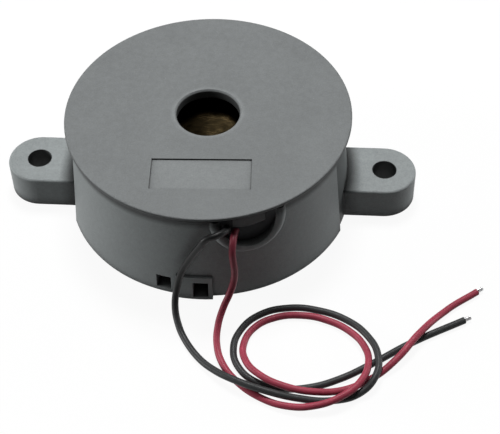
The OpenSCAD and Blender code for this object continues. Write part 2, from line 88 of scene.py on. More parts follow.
RED_ROUTE = in_port([
    (-0.8, -4.1, 5.4), (-0.8, -4.1, 7.2), (-0.9, -2, 10.2), (-1.2, -0.5, 12), (-1.7, 0.6, 12.8),
    (-2.3, 1.7, 13), (-2.9, 3, 12.8), (-3.3, 3.9, 11.8), (-3.3, 4.3, 10.2), (-3.2, 4.4, 8.3),
    (-3.4, 4.5, 6.4), (-4.2, 5.1, 4.7), (-5.5, 6.2, 3.3),
]) + [
    (3.2, -28.1, 2.1), (3.2, -30.7, 1.1), (4.2, -33.6, 0.6), (6.4, -36.4, 0.5),
    (9.5, -38.7, 0.5), (13.2, -40.1, 0.7), (17.1, -40.2, 1.2), (20.7, -38.8, 1.7),
    (23.2, -36.3, 1.8), (24.2, -33.2, 1.6), (23.7, -30.1, 1.1), (21.7, -27.3, 0.7),
    (18.4, -25.3, 0.5), (14.6, -24.6, 0.5), (11, -25.2, 0.5), (8.2, -27.1, 0.5),
    (6.9, -30, 0.6), (7.3, -33.1, 1.1), (9.4, -35.8, 1.6), (12.8, -37.5, 1.6), (17, -37.9, 1.1),
    (21.2, -36.9, 0.5), (25, -34.7, 0.5), (28.3, -31.7, 1.2), (31.1, -27.9, 1.6),
    (35, -22.9, 0.5), (39.7, -19.1, 0.5),
]
LEADS = {"red": (RED_ROUTE, 0.128), "black": (BLACK_ROUTE, 0.136)}      # route and whole length
SHEATH_KEPT = {"red": 0.45, "black": 0.16}      # share of its colour that a lead keeps in painted shade by its exit
SHEATH_SHADE_HEIGHTS = (2 * MM, 7 * MM)      # the heights where a lead's painted shade starts and is at its full
LEAD_GLOSS = 0.45
LEAD_SPECULAR = 0.25
STRANDS = 7
STRAND_STEPS = 8
STRAND_TWIST = 4 * MM
STRAND_TUCK = 0.3      # how much of its bare length a core also runs inside the insulation

# The plain panel on the cover, where the part's source sinks it
PANEL_CENTRE = (0, -12.4 * MM, 0)
PANEL_SIZE = (14.2 * MM, 5.8 * MM)
PANEL_TURN = math.radians(2)

# The case's wall, as the part's source draws it
CASE_RADIUS = 21.6 * MM
CASE_HEIGHT = 15.1 * MM
WALL_LEAN = 1.05 * MM
RELIEF_DEPTH = 0.6 * MM
RELIEF_WIDTH = 16.4 * MM
EAR_WIDTH = 9.5 * MM
EAR_THICKNESS = 5.2 * MM
EAR_HOLE_PLACE = 26.25 * MM
EAR_HOLE_RADIUS = 1.8 * MM
HOLE_RADIUS = 4.65 * MM
SLACK = 0.05 * MM             # what a mask reaches past the face that it ends on

# Painted shade and highlight, and paler places, on the case and the cover: sizes, and shares of
# the colour
CASE_GLOSS = 0.52
COVER_GLOSS = 0.58
RELIEF_MIDDLE = 1 * MM        # the painted shade in a relief grows from here to its sides
RELIEF_SHADE = (0.35, 0.78)    # what it takes at the middle and at the sides
ROOT_SHADE_REACH = 1.7 * MM         # how far out from the wall the painted shade on an ear reaches
ROOT_SHADE = 0.6
SCREW_HOLE_SHADE = 0.75
SEAM_SHADE_REACH = 1.4 * MM
SEAM_KEPT = 0.22              # what painted shade leaves of the colour in the seam under the cover
RING_WIDTH = 0.9 * MM         # the painted highlight ring round the sound hole
RING_HIGHLIGHT = 1.35
BORE_KEPT = 0.35              # what painted shade leaves on the wall of the sound hole
SIDE_FACING = (0.3, 0.9)      # how far up a face of the cover looks, from a side to the top
SIDE_KEPT = 0.5
PANEL_PALE = 1.18
SEAL_COLOR = (0.008, 0.009, 0.01)

# Small parts on the board
RESISTOR_BODY = 6 * MM
DIODE_BODY = 4 * MM
DIODE_BAND_PLACE = 1.3 * MM
DIODE_BAND_WIDTH = 0.5 * MM
TRANSISTOR_LIFT = 1.4 * MM    # how high above the board its body starts
WIRE_LIFT = 0.2 * MM          # how high above the board the other parts' bare wires show
WIRE_PITCH = 0.18 * MM        # from turn to turn of the coil
WIRE_GROOVE = 0.03 * MM
FIBRE_SIZE = 1.5 * MM
FIBRE_STRETCH = (1, 6, 1)
TRACK_PITCH = 5 * MM
TRACK_GAP = 0.09              # as a share of the pitch
TRACK_HEIGHT = 0.03 * MM
STRIPE_PLACE = 0.75           # where the capacitor's stripe starts, as a share of its radius
DASH_PITCH = 1.8 * MM
DASH_WIDTH = 0.32 * MM
DASH_LENGTH = 1 * MM
LID_DEPTH = 0.25 * MM         # how far down the capacitor's lid shows bare metal
LID_EDGE = 0.6 * MM           # the sleeve's edge that folds over the lid
BAND_WIDTH = 0.45 * MM
BAND_PLACES = (-1.9 * MM, -1.0 * MM, -0.1 * MM, 1.6 * MM)
BAND_COLORS = {
    "black": (0.01, 0.01, 0.01), "brown": (0.09, 0.03, 0.012), "red": (0.42, 0.02, 0.015),
    "orange": (0.65, 0.14, 0.015), "yellow": (0.7, 0.48, 0.03), "violet": (0.12, 0.04, 0.22),
    "gold": (0.42, 0.27, 0.06),
}
RESISTOR_BANDS = {
    "resistor_a": ("brown", "black", "orange", "gold"),
    "resistor_b": ("yellow", "violet", "red", "gold"),
    "resistor_c": ("brown", "black", "yellow", "gold"),
}
WIRE_COLORS = {
    "main_wire": (0.42, 0.02, 0.02),
    "feedback_wire": (0.02, 0.06, 0.32),
    "ground_wire": (0.02, 0.02, 0.022),
}
TIN = (0.66, 0.66, 0.67, 1)
FLUX = (0.30, 0.20, 0.08, 1)
TINNED = (TIN, FLUX, 0.2, 0.34)      # bare leads: colour, stain, share stained and gloss

# The floor that the camera sees
FLOOR_COLOR = (0.8, 0.8, 0.8)
FLOOR_BOUNCE = (0.1, 0.1, 0.1)      # the colour that lights the part from below
FLOOR_GLOW_SHARE = 0.9
FLOOR_GLOW = 1.03
FLOOR_ROUGHNESS = 0.9
FLOOR_SIZE = 4
FLOOR_MOTTLE = 40 * MM

# Name, place, aim and size of each lamp
LAMPS = (
    ("top", (-0.01, 0.19, 0.46), (0, 0, 0), 0.14),
    ("left", (-0.48, -0.02, 0.12), (0, 0, 0.01), 0.16),
    ("right", (0.44, 0.2, 0.12), (0, 0, 0.01), 0.16),
)


# ---------------------------------------------------------------- Settings
class BuzzerCase(bpy.types.PropertyGroup):
    """Moulded case and cover"""

    case_color: FloatVectorProperty(
        name="Case", description="Colour of the case",
        size=3, default=(0.31, 0.336, 0.338), subtype="COLOR",
    )
    cover_color: FloatVectorProperty(
        name="Cover", description="Colour of the cover",
        size=3, default=(0.2, 0.212, 0.214), subtype="COLOR",
    )
    grain: FloatProperty(
        name="Grain", description="Size of the moulded grain",
        default=0.22 * MM, unit="LENGTH",
    )
    grain_depth: FloatProperty(
        name="Grain depth", description="Height of the moulded grain",
        default=0.012 * MM, unit="LENGTH",
    )
    edge: FloatProperty(
        name="Edge", description="Radius that the moulding's sharp edges look rounded by",
        default=0.12 * MM, unit="LENGTH",
    )


class BuzzerLeads(bpy.types.PropertyGroup):
    """Sizes and colours of the two leads"""

    diameter: FloatProperty(
        name="Diameter", description="Outer diameter of a lead",
        default=1.0 * MM, unit="LENGTH",
    )
    core_diameter: FloatProperty(
        name="Core", description="Diameter of a lead's bare core",
        default=0.6 * MM, unit="LENGTH",
    )
    bare_length: FloatProperty(
        name="Bare end", description="Length of bare core at the free end",
        default=1.0 * MM, unit="LENGTH",
    )
    red: FloatVectorProperty(
        name="Red", description="Colour of the red insulation",
        size=3, default=(0.39, 0.056, 0.09), subtype="COLOR",
    )
    black: FloatVectorProperty(
        name="Black", description="Colour of the black insulation",
        size=3, default=(0.046, 0.048, 0.049), subtype="COLOR",
    )


class BuzzerStage(bpy.types.PropertyGroup):
    """Camera, floor and lamps"""

    camera_place: FloatVectorProperty(
        name="Camera place", description="Where the camera stands",
        size=3, default=(0.01735, -0.1417, 0.15355), unit="LENGTH",
    )
    camera_turn: FloatVectorProperty(
        name="Camera turn", description="How the camera is turned",
        size=3, subtype="EULER",
        default=(math.radians(41.58), math.radians(0.95), math.radians(3.61)),
    )
    lens: FloatProperty(
        name="Lens", description="Focal length of the camera",
        default=97.5, unit="CAMERA",
    )
    top_power: FloatProperty(
        name="Top lamp", description="Power of the lamp overhead, a little behind",
        default=1.9, subtype="POWER",
    )
    left_power: FloatProperty(
        name="Left lamp", description="Power of the low lamp on the left",
        default=1.25, subtype="POWER",
    )
    right_power: FloatProperty(
        name="Right lamp", description="Power of the low lamp on the right",
        default=0.7, subtype="POWER",
    )
    room_light: FloatProperty(
        name="Room light", description="Strength of the light from all round",
        default=0.07,
    )


SETTINGS = {"buzzer_case": BuzzerCase, "buzzer_leads": BuzzerLeads, "buzzer_stage": BuzzerStage}


# ---------------------------------------------------------------- Node trees
NOISE_SWING = (0.3, 0.7)      # the range that a noise hardly ever leaves


class Graph:
    """Adds nodes to one tree and joins them."""

    def __init__(self, tree):
        self.tree = tree

    def add(self, kind, feeds=None, **options):
        node = self.tree.nodes.new(f"ShaderNode{kind}")
        for option, value in options.items():
            setattr(node, option, value)
        for socket, value in (feeds or {}).items():
            self.feed(node.inputs[socket], value)
        return node

    def feed(self, socket, value):
        if isinstance(value, bpy.types.NodeSocket):
            self.tree.links.new(value, socket)
        else:
            socket.default_value = value

    def math(self, operation, first, second=0.0):
        return self.add("Math", {0: first, 1: second}, operation=operation).outputs[0]

    def times(self, first, second):
        return self.math("MULTIPLY", first, second)

    def plus(self, first, second):
        return self.math("ADD", first, second)

    def minus(self, first, second):
        return self.math("SUBTRACT", first, second)

    def absolute(self, value):
        return self.math("ABSOLUTE", value)

    def above(self, value, limit):
        return self.math("GREATER_THAN", value, limit)

    def below(self, value, limit):
        return self.math("LESS_THAN", value, limit)

    def within(self, value, limit):
        return self.below(self.absolute(value), limit)

    def place(self):
        """Where a point lies in the part's own frame, in metres."""
        return self.add("TexCoord").outputs["Object"]

    def axes(self, vector):
        return self.add("SeparateXYZ", {0: vector}).outputs

    def shifted(self, place, centre, scale=(1, 1, 1), turn=0.0):
        """Places measured from a centre, in axes turned about Z."""
        moved = self.add("VectorMath", {0: place, 1: centre}, operation="SUBTRACT").outputs[0]
        feeds = {"Vector": moved, "Angle": -turn}
        turned = self.add("VectorRotate", feeds, rotation_type="Z_AXIS").outputs[0]
        return self.add("VectorMath", {0: turned, 1: scale}, operation="MULTIPLY").outputs[0]

    def off_axis(self, centre=(0, 0, 0), place=None):
        """How far a point lies from the upright axis through a centre."""
        level = self.shifted(place or self.place(), centre, (1, 1, 0))
        return self.add("VectorMath", {0: level}, operation="LENGTH").outputs["Value"]

    def normal(self):
        return self.add("NewGeometry").outputs["Normal"]

    def noise(self, place, size, detail=2.0):
        feeds = {"Vector": place, "Scale": self.math("DIVIDE", 1.0, size), "Detail": detail}
        return self.add("TexNoise", feeds).outputs["Fac"]

    def cells(self, place, size, **options):
        """Distances in a pattern of cells of a size."""
        feeds = {"Vector": place, "Scale": 1 / size}
        return self.add("TexVoronoi", feeds, **options).outputs["Distance"]

    def spread(self, value, low, high, out_low=0.0, out_high=1.0):
        feeds = {0: value, 1: low, 2: high, 3: out_low, 4: out_high}
        return self.add("MapRange", feeds).outputs[0]

    def vary(self, noise, low, high):
        """The usual swing of a noise, spread from low to high."""
        return self.spread(noise, *NOISE_SWING, low, high)

    def blend(self, mask, first, second):
        node = self.add("Mix", {0: mask}, data_type="RGBA")
        self.feed(node.inputs[6], first)
        self.feed(node.inputs[7], second)
        return node.outputs[2]

    def shade(self, color, value):
        """The colour made lighter or darker by a factor."""
        return self.add("HueSaturation", {"Color": color, "Value": value}).outputs[0]

    def bump(self, height, depth, normal=None):
        node = self.add("Bump", {"Height": height, "Distance": depth})
        if normal is not None:
            self.feed(node.inputs["Normal"], normal)
        return node.outputs[0]


def new_effect(name, inputs, outputs):
    """A node group with nothing in it: the group, its graph, what comes in and what goes out."""
    group = bpy.data.node_groups.new(name, "ShaderNodeTree")
    for label, (kind, value) in inputs.items():
        socket = group.interface.new_socket(label, in_out="INPUT", socket_type=f"NodeSocket{kind}")
        socket.default_value = value
    for label, kind in outputs.items():
        group.interface.new_socket(label, in_out="OUTPUT", socket_type=f"NodeSocket{kind}")
    given = group.nodes.new("NodeGroupInput").outputs
    result = group.nodes.new("NodeGroupOutput").inputs
    return group, Graph(group), given, result


SURFACE = {"Color": "Color", "Roughness": "Float", "Normal": "Vector"}      # what an effect gives

# Moulded plastic: how open a crevice is where its painted shade starts and ends, the share of
# the colour that the painted shade takes, grain and clouds, how far the normal turns at an edge,
# and specks of dust
CREVICE_OPEN = (0.9, 0.48)
CREVICE_SHADE = 0.94
COARSE_GRAIN = 4              # times the size of the fine grain
COARSE_HEIGHT = 0.8           # times its height
CLOUD_SIZE = 9 * MM
EDGE_TURN = (0.98, 0.8)
EDGE_HIGHLIGHT = 0.15
EDGE_POLISH = 0.12
DUST_PITCH = 1.6 * MM
DUST_SIZE = (0.05, 0.03)
DUST_PALE = 0.35


def moulded_effect():
    """Fine moulded grain with faint clouds and dust, painted shade in crevices, and glossier edges
    with a painted highlight.
    """
    group, graph, given, result = new_effect(
        "moulded_surface",
        {
            "Color": ("Color", (0.15, 0.15, 0.15, 1)),
            "Gloss": ("Float", 0.5),
            "Grain": ("Float", 0.2 * MM),
            "Depth": ("Float", 0.01 * MM),
            "Edge": ("Float", 0.1 * MM),
            "Crevice": ("Float", 2.2 * MM),
        },
        SURFACE,
    )
    place = graph.place()
    # Painted shade: the colour darkens where nearby surfaces close a point in
    nearby = graph.add("AmbientOcclusion", {"Distance": given["Crevice"]}, samples=8)
    crevice_shade = graph.spread(nearby.outputs["AO"], *CREVICE_OPEN, 0.0, CREVICE_SHADE)
    fine = graph.noise(place, given["Grain"], 3)
    coarse = graph.noise(place, graph.times(given["Grain"], COARSE_GRAIN), 3)
    cloud = graph.noise(place, CLOUD_SIZE, 3)
    rounded = graph.add("Bevel", {"Radius": given["Edge"]}, samples=6).outputs[0]
    turn = graph.add("VectorMath", {0: rounded, 1: graph.normal()}, operation="DOT_PRODUCT")
    edge = graph.spread(turn.outputs["Value"], *EDGE_TURN)
    speck = graph.spread(graph.cells(place, DUST_PITCH), *DUST_SIZE)
    value = graph.plus(graph.vary(fine, -0.07, 0.07), graph.vary(cloud, 0.95, 1.05))
    value = graph.plus(value, graph.vary(coarse, -0.07, 0.07))
    # Painted highlight along the rounded edges
    value = graph.plus(value, graph.times(edge, EDGE_HIGHLIGHT))
    value = graph.plus(value, graph.times(speck, DUST_PALE))
    value = graph.times(value, graph.minus(1.0, crevice_shade))
    graph.feed(result["Color"], graph.shade(given["Color"], value))
    dull = graph.plus(given["Gloss"], graph.vary(coarse, -0.05, 0.07))
    graph.feed(result["Roughness"], graph.minus(dull, graph.times(edge, EDGE_POLISH)))
    height = graph.plus(fine, graph.times(coarse, COARSE_HEIGHT))
    graph.feed(result["Normal"], graph.bump(height, given["Depth"], rounded))
    return group


# Insulation: sizes of its mottling, skin and scuffs, and how scuffs pale and dull it
MOTTLE_SIZE = 2.2 * MM
SKIN_SIZE = 0.18 * MM
SKIN_DEPTH = 0.012 * MM
SCUFF_SIZE = 0.9 * MM
SCUFF_SHARE = (0.62, 0.72)
SCUFF_PALE = 0.25
SCUFF_DULL = 0.2


def sheath_effect():
    """Soft extruded insulation: faint mottling, drag marks and a dulled skin."""
    group, graph, given, result = new_effect(
        "sheath_surface", {"Color": ("Color", (0.1, 0.1, 0.1, 1)), "Gloss": ("Float", 0.4)}, SURFACE
    )
    place = graph.place()
    mottle = graph.noise(place, MOTTLE_SIZE)
    skin = graph.noise(place, SKIN_SIZE)
    scuff = graph.spread(graph.noise(place, SCUFF_SIZE, 4), *SCUFF_SHARE)
    value = graph.plus(graph.vary(mottle, 0.9, 1.12), graph.times(scuff, SCUFF_PALE))
    graph.feed(result["Color"], graph.shade(given["Color"], value))
    dull = graph.plus(given["Gloss"], graph.times(scuff, SCUFF_DULL))
    graph.feed(result["Roughness"], graph.plus(dull, graph.vary(skin, -0.04, 0.04)))
    graph.feed(result["Normal"], graph.bump(graph.plus(skin, mottle), SKIN_DEPTH))
    return group


# Bare metal: how fine its drawn lines are along and across them, and the size of its stains
DRAWN_SIZE = 1.2 * MM
DRAWN_STRETCH = (1, 14, 14)
DRAWN_DEPTH = 0.006 * MM
PATCH_SIZE = 3.5 * MM
PATCH_SHARE = (0.42, 0.68)
STAIN_DULL = 0.3


def metal_effect():
    """Bare metal with drawn scratches and patches of stain."""
    group, graph, given, result = new_effect(
        "metal_surface",
        {
            "Color": ("Color", (0.7, 0.7, 0.7, 1)),
            "Stain": ("Color", (0.2, 0.15, 0.1, 1)),
            "Stained": ("Float", 0.3),
            "Gloss": ("Float", 0.3),
        },
        SURFACE,
    )
    place = graph.place()
    drawn = graph.noise(graph.shifted(place, (0, 0, 0), DRAWN_STRETCH), DRAWN_SIZE, 3)
    patch = graph.noise(place, PATCH_SIZE, 4)
    stain = graph.times(graph.spread(patch, *PATCH_SHARE), given["Stained"])
    bright = graph.shade(given["Color"], graph.vary(drawn, 0.88, 1.1))
    graph.feed(result["Color"], graph.blend(stain, bright, given["Stain"]))
    dull = graph.plus(given["Gloss"], graph.vary(drawn, -0.06, 0.1))
    graph.feed(result["Roughness"], graph.plus(dull, graph.times(stain, STAIN_DULL)))
    graph.feed(result["Normal"], graph.bump(drawn, DRAWN_DEPTH))
    return group


EFFECTS = {"moulded": moulded_effect, "sheath": sheath_effect, "metal": metal_effect}


def use_effect(graph, name, feeds):
    """A shared effect in a material, made the first time that it is asked for."""
    group = bpy.data.node_groups.get(f"{name}_surface") or EFFECTS[name]()
    return graph.add("Group", feeds, node_tree=group).outputs


# ---------------------------------------------------------------- Materials
MOULDED_SPECULAR = 0.25
SHEATH_SPECULAR = 0.3


def new_material(name, specular=None, **constants):
    """A fresh material: itself, its graph and its shader's sockets, with constants set on them."""
    material = bpy.data.materials.new(name)
    material.use_nodes = True
    shader = material.node_tree.nodes["Principled BSDF"]
    for socket, value in constants.items():
        shader.inputs[socket.replace("_", " ").title()].default_value = value
    if specular is not None:
        shader.inputs["Specular IOR Level"].default_value = specular
    return material, Graph(material.node_tree), shader.inputs


def join_surface(graph, sockets, surface):
    graph.feed(sockets["Base Color"], surface["Color"])
    graph.feed(sockets["Roughness"], surface["Roughness"])
    graph.feed(sockets["Normal"], surface["Normal"])


def moulded_material(name, color, gloss, settings):
    """Moulded plastic, and what a caller needs to go on with it."""
    material, graph, sockets = new_material(name, specular=MOULDED_SPECULAR)
    surface = use_effect(graph, "moulded", {
        "Color": (*color, 1), "Gloss": gloss, "Grain": settings.grain,
        "Depth": settings.grain_depth, "Edge": settings.edge,
    })
    join_surface(graph, sockets, surface)
    return material, graph, sockets, surface


def sheath_material(name, color, gloss):
    """Rubber or soft insulation."""
    material, graph, sockets = new_material(name, specular=SHEATH_SPECULAR)
    surface = use_effect(graph, "sheath", {"Color": (*color, 1), "Gloss": gloss})
    join_surface(graph, sockets, surface)
    return material


def metal_material(name, color, stain, stained, gloss):
    """Bare metal, stained in patches."""
    material, graph, sockets = new_material(name, metallic=1.0)
    feeds = {"Color": color, "Stain": stain, "Stained": stained, "Gloss": gloss}
    join_surface(graph, sockets, use_effect(graph, "metal", feeds))
    return material


def mix_values(graph, mask, first, second):
    return graph.add("Mix", {0: mask, 2: first, 3: second}).outputs[0]


def join_leaded(graph, sockets, body, wire):
    """The body's finish, and tinned wire where the wire mask is 1."""
    tin = use_effect(graph, "metal", {"Color": TIN, "Stain": FLUX, "Stained": 0.25, "Gloss": 0.34})
    graph.feed(sockets["Base Color"], graph.blend(wire, body["Color"], tin["Color"]))
    graph.feed(sockets["Roughness"], mix_values(graph, wire, body["Roughness"], tin["Roughness"]))
    graph.feed(sockets["Normal"], body["Normal"])
    graph.feed(sockets["Metallic"], wire)


def middle(node):
    """Centre of a carried-over solid."""
    low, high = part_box(node)
    return (low + high) / 2


def board_top():
    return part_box("circuit_board")[1].z


def finish_node(node, material):
    """Gives a carried-over solid its material."""
    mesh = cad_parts[node].data
    mesh.materials.clear()
    mesh.materials.append(material)


# ---------------------------------------------------------------- Case, cover and seal
def case_material(settings):
    """The case's plastic, with painted shade in its reliefs, seam, ear roots and screw holes."""
    material, graph, sockets, surface = moulded_material(
        "case_plastic", settings.case_color, CASE_GLOSS, settings
    )
    at = graph.axes(graph.place())
    wall = graph.spread(at["Z"], 0, CASE_HEIGHT, CASE_RADIUS, CASE_RADIUS - WALL_LEAN)
    depth = graph.minus(wall, graph.off_axis())
    sunk = graph.times(
        graph.above(depth, RELIEF_DEPTH / 2), graph.within(at["Y"], RELIEF_WIDTH / 2 + 2 * SLACK)
    )
    outside = graph.times(sunk, graph.below(depth, RELIEF_DEPTH + 2 * SLACK))
    aside = graph.absolute(at["Y"])
    # Painted shade in the sunk reliefs beside the ears, darkest towards their sides
    relief_shade = graph.spread(aside, RELIEF_MIDDLE, RELIEF_WIDTH / 2, *RELIEF_SHADE)
    # Painted shade on the wall just under the cover's rim
    seam = graph.spread(
        at["Z"], CASE_HEIGHT - SEAM_SHADE_REACH, CASE_HEIGHT - SEAM_SHADE_REACH / 3, 1.0, SEAM_KEPT
    )
    shade = graph.times(seam, graph.minus(1.0, graph.times(outside, relief_shade)))

    # Painted shade on the ears where they meet the wall
    ear = graph.times(
        graph.within(at["Y"], EAR_WIDTH / 2 + SLACK), graph.below(at["Z"], EAR_THICKNESS + SLACK)
    )
    ear = graph.times(ear, graph.below(depth, RELIEF_DEPTH - SLACK))
    root = graph.times(ear, graph.spread(depth, -ROOT_SHADE_REACH, 0, 0, ROOT_SHADE))
    # Painted shade on the walls of the ears' screw holes
    either_side = graph.add("VectorMath", {0: graph.place()}, operation="ABSOLUTE").outputs[0]
    from_hole = graph.off_axis((EAR_HOLE_PLACE, 0, 0), either_side)
    bore = graph.times(SCREW_HOLE_SHADE, graph.below(from_hole, EAR_HOLE_RADIUS + SLACK))
    shade = graph.times(shade, graph.minus(1.0, graph.math("MAXIMUM", root, bore)))
    graph.feed(sockets["Base Color"], graph.shade(surface["Color"], shade))
    return material


def cover_material(settings):
    """The cover's plastic: paler panel, painted highlight round its hole, painted shade on its
    sides.
    """
    material, graph, sockets, surface = moulded_material(
        "cover_plastic", settings.cover_color, COVER_GLOSS, settings
    )
    from_axis = graph.off_axis()
    # Painted highlight: a pale ring round the sound hole
    ring = graph.spread(from_axis, HOLE_RADIUS, HOLE_RADIUS + RING_WIDTH, RING_HIGHLIGHT, 1.0)
    # Painted shade on the cover's side faces, by how far they turn away from up
    sides = graph.spread(graph.axes(graph.normal())["Z"], *SIDE_FACING, SIDE_KEPT, 1.0)
    # Painted shade on the wall of the sound hole
    bore = graph.spread(from_axis, HOLE_RADIUS - SLACK, HOLE_RADIUS + 3 * SLACK, BORE_KEPT, 1.0)
    plain = graph.shade(surface["Color"], graph.times(graph.times(ring, sides), bore))
    at = graph.axes(graph.shifted(graph.place(), PANEL_CENTRE, turn=PANEL_TURN))
    inside = graph.times(
        graph.within(at["X"], PANEL_SIZE[0] / 2), graph.within(at["Y"], PANEL_SIZE[1] / 2)
    )
    graph.feed(sockets["Base Color"], graph.blend(inside, plain, graph.shade(plain, PANEL_PALE)))
    return material


class BUZZER_OT_case(bpy.types.Operator):
    """Finish the case, its cover and the rubber seal"""

    bl_idname = "buzzer.case"
    bl_label = "Case and cover"

    def execute(self, context):
        settings = context.scene.buzzer_case
        finish_node("case", case_material(settings))
        finish_node("front_cover", cover_material(settings))
        finish_node("lead_seal", sheath_material("seal_rubber", SEAL_COLOR, gloss=0.75))
        return {"FINISHED"}


# ---------------------------------------------------------------- Sound element
TURNED_PITCH = 0.35 * MM
TURNED_DEPTH = 0.003 * MM
LIT_SIDE_REACH = (-0.5 * MM, 3.5 * MM)      # along X, from the side in painted shade to the painted lit side
LIT_SIDE_KEPT = (0.15, 1.1)                 # what painted shade and painted light leave of the colour there
CERAMIC_RIM = 0.6 * MM                     # the bare edge round the silver
CERAMIC_GRAIN = 0.3 * MM
SILVER_METAL = 0.85
GLUE_RIPPLE = 1.4 * MM
GLUE_BUBBLE = 0.9 * MM
GLUE_DEPTH = 0.05 * MM


def plate_material():
    """Brass with faint turned rings, in painted shade on one side and painted light on the other.
    """
    material, graph, sockets = new_material("plate_brass", metallic=1.0)
    surface = use_effect(graph, "metal", {
        "Color": (0.17, 0.125, 0.06, 1), "Stain": (0.04, 0.025, 0.012, 1),
        "Stained": 0.5, "Gloss": 0.12,
    })
    rings = graph.math("SINE", graph.times(graph.off_axis(), 2 * math.pi / TURNED_PITCH))
    join_surface(graph, sockets, surface)
    # Painted shade and light across the plate, darker towards -X and lighter towards +X
    lit_side = graph.spread(graph.axes(graph.place())["X"], *LIT_SIDE_REACH, *LIT_SIDE_KEPT)
    graph.feed(sockets["Base Color"], graph.shade(surface["Color"], lit_side))
    graph.feed(sockets["Normal"], graph.bump(rings, TURNED_DEPTH, surface["Normal"]))
    return material


def ceramic_material():
    """Screen-printed silver, with the bare ceramic showing at the edge."""
    material, graph, sockets = new_material("ceramic_silvered")
    silver = use_effect(graph, "metal", {
        "Color": (0.74, 0.74, 0.72, 1), "Stain": (0.42, 0.37, 0.28, 1),
        "Stained": 0.4, "Gloss": 0.5,
    })
    bare = graph.above(graph.off_axis(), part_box("piezo_ceramic")[1].x - CERAMIC_RIM)
    grain = graph.vary(graph.noise(graph.place(), CERAMIC_GRAIN), 0.9, 1.1)
    fired = graph.shade((0.62, 0.52, 0.36, 1), grain)
    graph.feed(sockets["Base Color"], graph.blend(bare, silver["Color"], fired))
    graph.feed(sockets["Roughness"], mix_values(graph, bare, silver["Roughness"], 0.75))
    graph.feed(sockets["Metallic"], graph.minus(SILVER_METAL, graph.times(bare, SILVER_METAL)))
    graph.feed(sockets["Normal"], silver["Normal"])
    return material


def glue_material():
    """Milky silicone with small ripples and trapped bubbles."""
    material, graph, sockets = new_material(
        "silicone", subsurface_weight=0.2, subsurface_scale=0.6 * MM
    )
    place = graph.place()
    ripple = graph.noise(place, GLUE_RIPPLE, 3)
    bubble = graph.spread(graph.cells(place, GLUE_BUBBLE), 0.12, 0.2)
    shade = graph.times(graph.vary(ripple, 0.92, 1.05), graph.spread(bubble, 0, 1, 0.85, 1))
    graph.feed(sockets["Base Color"], graph.shade((0.74, 0.73, 0.69, 1), shade))
    graph.feed(sockets["Roughness"], graph.vary(ripple, 0.3, 0.5))
    graph.feed(sockets["Normal"], graph.bump(graph.plus(ripple, bubble), GLUE_DEPTH))
    return material


class BUZZER_OT_element(bpy.types.Operator):
    """Finish the brass plate, its ceramic disc, the glue and the solder on them"""

    bl_idname = "buzzer.element"
    bl_label = "Sound element"

    def execute(self, context):
        finish_node("diaphragm", plate_material())
        finish_node("piezo_ceramic", ceramic_material())
        finish_node("diaphragm_glue", glue_material())
        solder = metal_material("solder", TIN, FLUX, stained=0.5, gloss=0.26)
        for node in ("element_solder", "board_solder"):
            finish_node(node, solder)
        finish_node("lead_pins", metal_material("tinned_core", *TINNED))
        return {"FINISHED"}


# ---------------------------------------------------------------- Circuit board and its parts
def board_material():
    """Phenolic paper above, and copper tracks under green lacquer below."""
    material, graph, sockets = new_material("board_laminate")
    place = graph.place()
    fibre = graph.noise(graph.shifted(place, (0, 0, 0), FIBRE_STRETCH), FIBRE_SIZE, 4)
    paper = graph.shade((0.36, 0.20, 0.075, 1), graph.vary(fibre, 0.82, 1.15))
    copper = graph.above(graph.cells(place, TRACK_PITCH, feature="DISTANCE_TO_EDGE"), TRACK_GAP)
    lacquer = graph.blend(copper, (0.012, 0.075, 0.03, 1), (0.035, 0.16, 0.055, 1))
    below = graph.below(graph.axes(graph.normal())["Z"], -0.5)
    graph.feed(sockets["Base Color"], graph.blend(below, paper, lacquer))
    graph.feed(sockets["Roughness"], mix_values(graph, below, graph.vary(fibre, 0.5, 0.65), 0.25))
    raised = mix_values(graph, below, graph.times(fibre, 0.3), copper)
    graph.feed(sockets["Normal"], graph.bump(raised, TRACK_HEIGHT))
    return material


def lacquered(graph, color, gloss):
    """A soft or glassy body's finish, in a form that can be changed part by part."""
    return dict(use_effect(graph, "sheath", {"Color": (*color, 1), "Gloss": gloss}).items())


def resistor_material(name, node, bands):
    """Lacquered body with four colour bands, on a wire."""
    material, graph, sockets = new_material(name)
    body = lacquered(graph, (0.55, 0.40, 0.22), gloss=0.35)
    along = graph.axes(graph.shifted(graph.place(), middle(node)))["X"]
    for offset, color in zip(BAND_PLACES, bands):
        band = graph.within(graph.minus(along, offset), BAND_WIDTH / 2)
        body["Color"] = graph.blend(band, body["Color"], (*BAND_COLORS[color], 1))
    wire = graph.above(graph.absolute(along), RESISTOR_BODY / 2)
    join_leaded(graph, sockets, body, wire)
    return material


def diode_material():
    """Amber glass with a black band at one end, on a wire."""
    material, graph, sockets = new_material("diode_glass", coat_weight=0.6)
    body = lacquered(graph, (0.45, 0.13, 0.03), gloss=0.12)
    along = graph.axes(graph.shifted(graph.place(), middle("diode")))["X"]
    band = graph.within(graph.plus(along, DIODE_BAND_PLACE), DIODE_BAND_WIDTH / 2)
    body["Color"] = graph.blend(band, body["Color"], (0.01, 0.01, 0.01, 1))
    join_leaded(graph, sockets, body, graph.above(graph.absolute(along), DIODE_BODY / 2))
    return material


